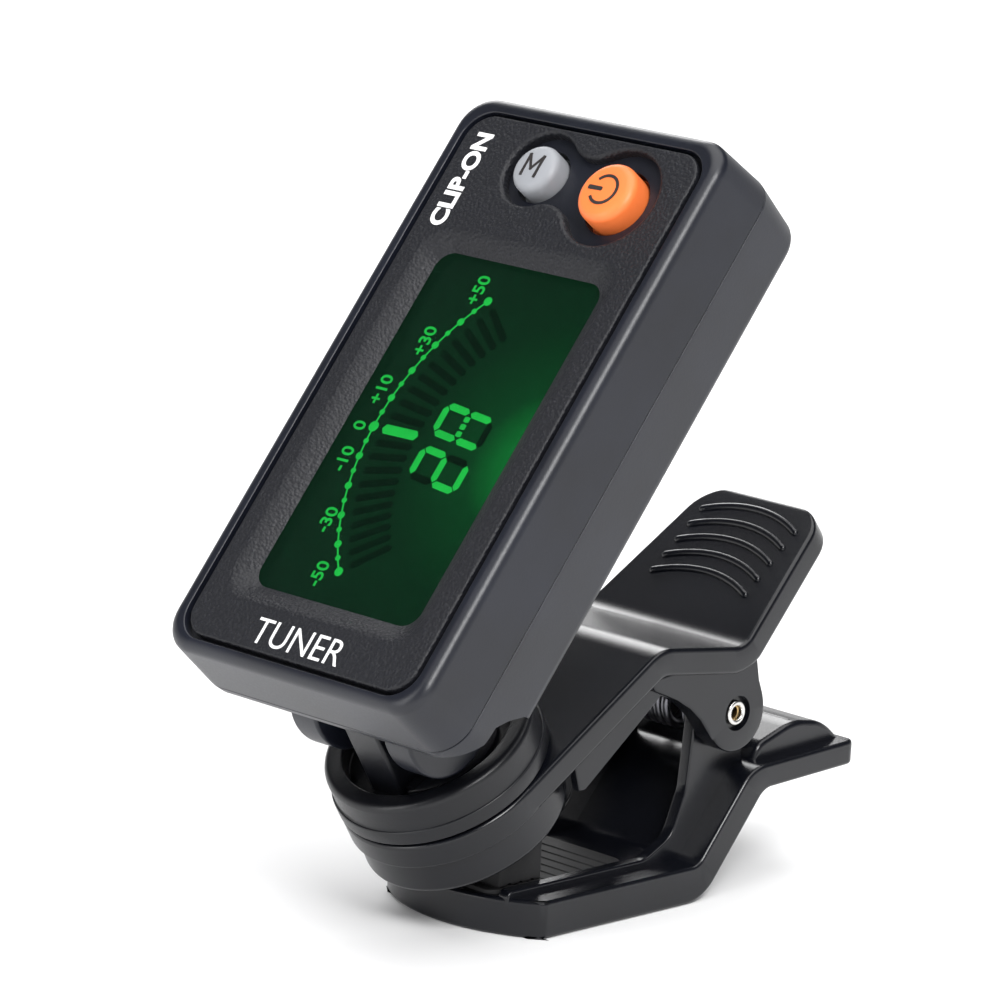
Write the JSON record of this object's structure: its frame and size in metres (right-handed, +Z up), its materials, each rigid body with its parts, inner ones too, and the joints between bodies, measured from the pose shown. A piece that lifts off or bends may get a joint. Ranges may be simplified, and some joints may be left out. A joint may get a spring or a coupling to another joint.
{
  "type": "clip-on tuner",
  "caption": "Clip-on instrument tuner: a tilting, turning display head with two buttons on a spring clip with finger levers and rubber jaw pads.",
  "frame": {"origin": "middle of the lower jaw's flat underside, on the surface it rests on", "axes": "+X towards the finger levers, +Z up; the display face looks towards -X and up, and the power button is on the -Y side"},
  "size_m": [0.0587, 0.03, 0.0646],
  "materials": {
    "case_black": "satin",
    "face_black": "grained",
    "window": "clear",
    "bezel": "matt",
    "lcd": "lit green",
    "diffuser": "milky",
    "led": "clear",
    "elastomer": "soft",
    "board": "solder mask",
    "chip": "matt",
    "parts": "matt",
    "switch": "satin",
    "button_grey": "satin",
    "button_orange": "satin",
    "steel": "satin",
    "contact": "plated",
    "spring_steel": "drawn",
    "rubber": "matt",
    "rivet": "nickel plated rim"
  },
  "bodies": {
    "clip_base": {"lower_arm": "case_black", "lower_pad": "rubber", "pivot_rivet": "rivet", "jaw_spring": "spring_steel"},
    "jaw": {"upper_arm": "case_black", "upper_pad": "rubber", "jaw_spring_leg": "spring_steel"},
    "swivel": {"turntable": "case_black", "turntable_screw": "steel", "turntable_washer": "steel"},
    "head": {"head_front_shell": "case_black", "face_plate": "face_black", "display_lens": "window", "display_frame": "bezel", "lcd_panel": "lcd", "backlight_diffuser": "diffuser", "backlight_leds": "led", "lcd_connector": "elastomer", "circuit_board": "board", "processor_chip": "chip", "board_parts": "parts", "mode_switch": "switch", "power_switch": "switch", "coin_cell": "steel", "contact_positive": "contact", "contact_negative": "contact", "piezo_sensor": "contact", "head_rear_shell": "case_black", "shell_screws": "steel", "hinge_pin": "steel", "hinge_washers": "steel"},
    "mode_key": {"mode_button": "button_grey"},
    "power_key": {"power_button": "button_orange"},
    "cover": {"battery_cover": "case_black"}
  },
  "joints": [
    {"name": "jaw_open", "type": "hinge", "parent": "clip_base", "child": "jaw", "pos_m": [0.01314, 0, 0.01557], "axis": [0, 1, 0], "range_deg": [0, 40], "stiffness_Nm_per_rad": 0.065, "springref_deg": 4.98},
    {"name": "turntable_turn", "type": "hinge", "parent": "jaw", "child": "swivel", "pos_m": [-0.0144, 0, 0.01607], "axis": [-0.5373, 0, 0.8434], "continuous": true},
    {"name": "head_tilt", "type": "hinge", "parent": "swivel", "child": "head", "pos_m": [-0.01878, 0, 0.01909], "axis": [0, -1, 0], "range_deg": [-30, 69]},
    {"name": "mode_press", "type": "slide", "parent": "head", "child": "mode_key", "axis": [0.788, 0, -0.6157], "range_m": [0, 0.0005], "stiffness_N_per_m": 400, "springref_m": -0.001},
    {"name": "power_press", "type": "slide", "parent": "head", "child": "power_key", "axis": [0.788, 0, -0.6157], "range_m": [0, 0.0005], "stiffness_N_per_m": 400, "springref_m": -0.001},
    {"name": "cover_off", "type": "slide", "parent": "head", "child": "cover", "axis": [0.788, 0, -0.6157], "range_m": [0, 0.01]}
  ]
}
